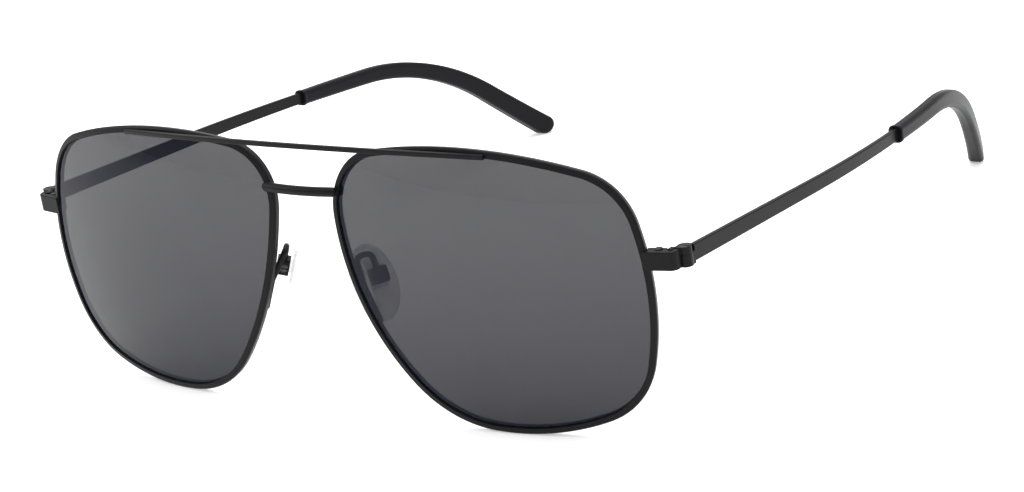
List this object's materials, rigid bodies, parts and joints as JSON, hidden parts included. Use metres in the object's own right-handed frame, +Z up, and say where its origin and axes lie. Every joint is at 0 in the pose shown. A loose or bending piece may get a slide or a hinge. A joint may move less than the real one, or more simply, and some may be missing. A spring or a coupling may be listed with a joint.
{
  "type": "aviator sunglasses",
  "caption": "Double-bridge aviator sunglasses with a thin metal frame, tinted curved lenses, folding temples with moulded tips and rocking clear nose pads.",
  "frame": {"origin": "middle of the bounding box, on the surface that the open glasses stand on: the bottoms of both rims and the ends of both tips", "axes": "+X to the wearer's left, +Y from the front back along the temples, +Z up"},
  "size_m": [0.1438, 0.1448, 0.0507],
  "materials": {
    "frame_metal": "satin black",
    "lens_glass": "polished, neutral grey tint",
    "tip_plastic": "soft satin black",
    "pad_silicone": "clear, glossy",
    "insert_plastic": "clear",
    "screw_steel": "blackened"
  },
  "bodies": {
    "front": {"brow_bar": "frame_metal", "bridge": "frame_metal", "rim_left": "frame_metal", "rim_right": "frame_metal", "lens_left": "lens_glass", "lens_right": "lens_glass", "end_piece_left": "frame_metal", "end_piece_right": "frame_metal", "upper_closing_block_left": "frame_metal", "upper_closing_block_right": "frame_metal", "lower_closing_block_left": "frame_metal", "lower_closing_block_right": "frame_metal", "closing_screw_left": "screw_steel", "closing_screw_right": "screw_steel", "hinge_front_left": "frame_metal", "hinge_front_right": "frame_metal", "pad_arm_left": "frame_metal", "pad_arm_right": "frame_metal", "pad_box_left": "frame_metal", "pad_box_right": "frame_metal", "pad_screw_left": "screw_steel", "pad_screw_right": "screw_steel"},
    "left_temple_arm": {"hinge_temple_left": "frame_metal", "hinge_screw_left": "screw_steel", "temple_left": "frame_metal", "temple_tip_left": "tip_plastic"},
    "right_temple_arm": {"hinge_temple_right": "frame_metal", "hinge_screw_right": "screw_steel", "temple_right": "frame_metal", "temple_tip_right": "tip_plastic"},
    "left_pad": {"nose_pad_left": "pad_silicone", "pad_insert_left": "insert_plastic"},
    "right_pad": {"nose_pad_right": "pad_silicone", "pad_insert_right": "insert_plastic"}
  },
  "joints": [
    {"name": "temple_fold_left", "type": "hinge", "parent": "front", "child": "left_temple_arm", "pos_m": [0.07066, -0.05963, 0.03154], "axis": [0, 0, 1], "range_deg": [0, 82]},
    {"name": "temple_fold_right", "type": "hinge", "parent": "front", "child": "right_temple_arm", "pos_m": [-0.07066, -0.05963, 0.03154], "axis": [0, 0, -1], "range_deg": [0, 78]},
    {"name": "nose_pad_rock_left", "type": "hinge", "parent": "front", "child": "left_pad", "pos_m": [0.01053, -0.06481, 0.02486], "axis": [-0.5533, -0.8305, -0.0643], "range_deg": [-8, 8]},
    {"name": "nose_pad_rock_right", "type": "hinge", "parent": "front", "child": "right_pad", "pos_m": [-0.01053, -0.06481, 0.02486], "axis": [0.5533, -0.8305, -0.0643], "range_deg": [-8, 8]}
  ]
}
